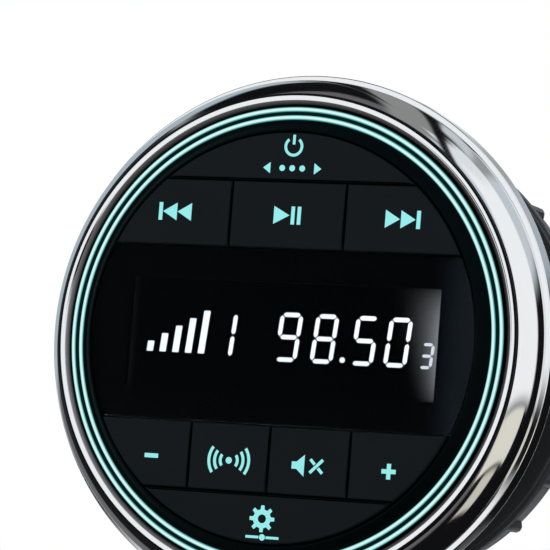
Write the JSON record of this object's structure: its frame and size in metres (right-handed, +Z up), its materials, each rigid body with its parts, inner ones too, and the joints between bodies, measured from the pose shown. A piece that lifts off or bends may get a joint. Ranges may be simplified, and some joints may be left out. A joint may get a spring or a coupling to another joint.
{
  "type": "marine stereo",
  "caption": "Round gauge-style marine stereo with chrome bezel, glowing rings, push keys and display, clamped into a dash hole by a ring nut on its barrel.",
  "frame": {"origin": "on the barrel's axis, in the plane where the gasket's rear face meets the dash panel", "axes": "the face looks along -Y, the barrel runs along +Y behind the panel, +Z is up and +X is to the right seen from the front"},
  "size_m": [0.105, 0.076, 0.105],
  "materials": {
    "chrome": "bright chrome plating",
    "fascia_black": "fine satin moulded black",
    "light_guide": "clear acrylic lit turquoise",
    "smoked_lens": "polished smoked acrylic",
    "display_glass": "dark display glass with lit white digits",
    "light_box": "white reflector",
    "key_rubber": "soft-touch charcoal",
    "silicone": "matt silicone",
    "circuit_board": "green solder mask",
    "component_black": "moulded epoxy",
    "capacitor_sleeve": "printed sleeve",
    "tinplate": "bright tin",
    "connector_ivory": "moulded nylon",
    "lamp": "clear lamp body",
    "screw_steel": "stainless steel",
    "seal_rubber": "black rubber",
    "housing_black": "moulded black",
    "gasket_foam": "closed-cell foam",
    "nut_black": "moulded glass-filled nylon",
    "heat_sink": "black anodised casting"
  },
  "bodies": {
    "stereo_body": {"bezel_ring": "chrome", "front_frame": "fascia_black", "inner_light_ring": "light_guide", "outer_light_ring": "light_guide", "display_lens": "smoked_lens", "lcd_glass": "display_glass", "lcd_backlight": "light_box", "keypad_membrane": "silicone", "key_switches": "component_black", "keypad_board": "circuit_board", "ring_leds": "lamp", "board_screws": "screw_steel", "front_seal": "seal_rubber", "housing": "housing_black", "flange_screws": "screw_steel", "panel_gasket": "gasket_foam", "rear_heat_sink": "heat_sink", "cover_seal": "seal_rubber", "cover_screws": "screw_steel", "cable_gland": "seal_rubber", "main_board": "circuit_board", "main_board_screws": "screw_steel", "amplifier_chip": "component_black", "smoothing_capacitors": "capacitor_sleeve", "tuner_shield": "tinplate", "harness_header": "connector_ivory", "ribbon_cable": "connector_ivory", "ribbon_sockets": "connector_ivory"},
    "power_button": {"power_key": "key_rubber"},
    "previous_button": {"previous_key": "key_rubber"},
    "play_button": {"play_key": "key_rubber"},
    "next_button": {"next_key": "key_rubber"},
    "volume_down_button": {"volume_down_key": "key_rubber"},
    "band_button": {"band_key": "key_rubber"},
    "mute_button": {"mute_key": "key_rubber"},
    "volume_up_button": {"volume_up_key": "key_rubber"},
    "settings_button": {"settings_key": "key_rubber"},
    "washer": {"slip_washer": "nut_black"},
    "nut": {"ring_nut": "nut_black"}
  },
  "joints": [
    {"name": "power_press", "type": "slide", "parent": "stereo_body", "child": "power_button", "axis": [0, 1, 0], "range_m": [0, 0.0008], "stiffness_N_per_m": 300},
    {"name": "previous_press", "type": "slide", "parent": "stereo_body", "child": "previous_button", "axis": [0, 1, 0], "range_m": [0, 0.0008], "stiffness_N_per_m": 300},
    {"name": "play_press", "type": "slide", "parent": "stereo_body", "child": "play_button", "axis": [0, 1, 0], "range_m": [0, 0.0008], "stiffness_N_per_m": 300},
    {"name": "next_press", "type": "slide", "parent": "stereo_body", "child": "next_button", "axis": [0, 1, 0], "range_m": [0, 0.0008], "stiffness_N_per_m": 300},
    {"name": "volume_down_press", "type": "slide", "parent": "stereo_body", "child": "volume_down_button", "axis": [0, 1, 0], "range_m": [0, 0.0008], "stiffness_N_per_m": 300},
    {"name": "band_press", "type": "slide", "parent": "stereo_body", "child": "band_button", "axis": [0, 1, 0], "range_m": [0, 0.0008], "stiffness_N_per_m": 300},
    {"name": "mute_press", "type": "slide", "parent": "stereo_body", "child": "mute_button", "axis": [0, 1, 0], "range_m": [0, 0.0008], "stiffness_N_per_m": 300},
    {"name": "volume_up_press", "type": "slide", "parent": "stereo_body", "child": "volume_up_button", "axis": [0, 1, 0], "range_m": [0, 0.0008], "stiffness_N_per_m": 300},
    {"name": "settings_press", "type": "slide", "parent": "stereo_body", "child": "settings_button", "axis": [0, 1, 0], "range_m": [0, 0.0008], "stiffness_N_per_m": 300},
    {"name": "clamp_advance", "type": "slide", "parent": "stereo_body", "child": "washer", "axis": [0, 1, 0], "range_m": [-0.0236, 0.0101]},
    {"name": "nut_spin", "type": "hinge", "parent": "washer", "child": "nut", "pos_m": [0, 0, 0], "axis": [0, 1, 0], "range_deg": [-2115, 900]}
  ],
  "couplings": [
    {"joint": "clamp_advance", "follows": "nut_spin", "m_per_rad": 0.00063662}
  ]
}
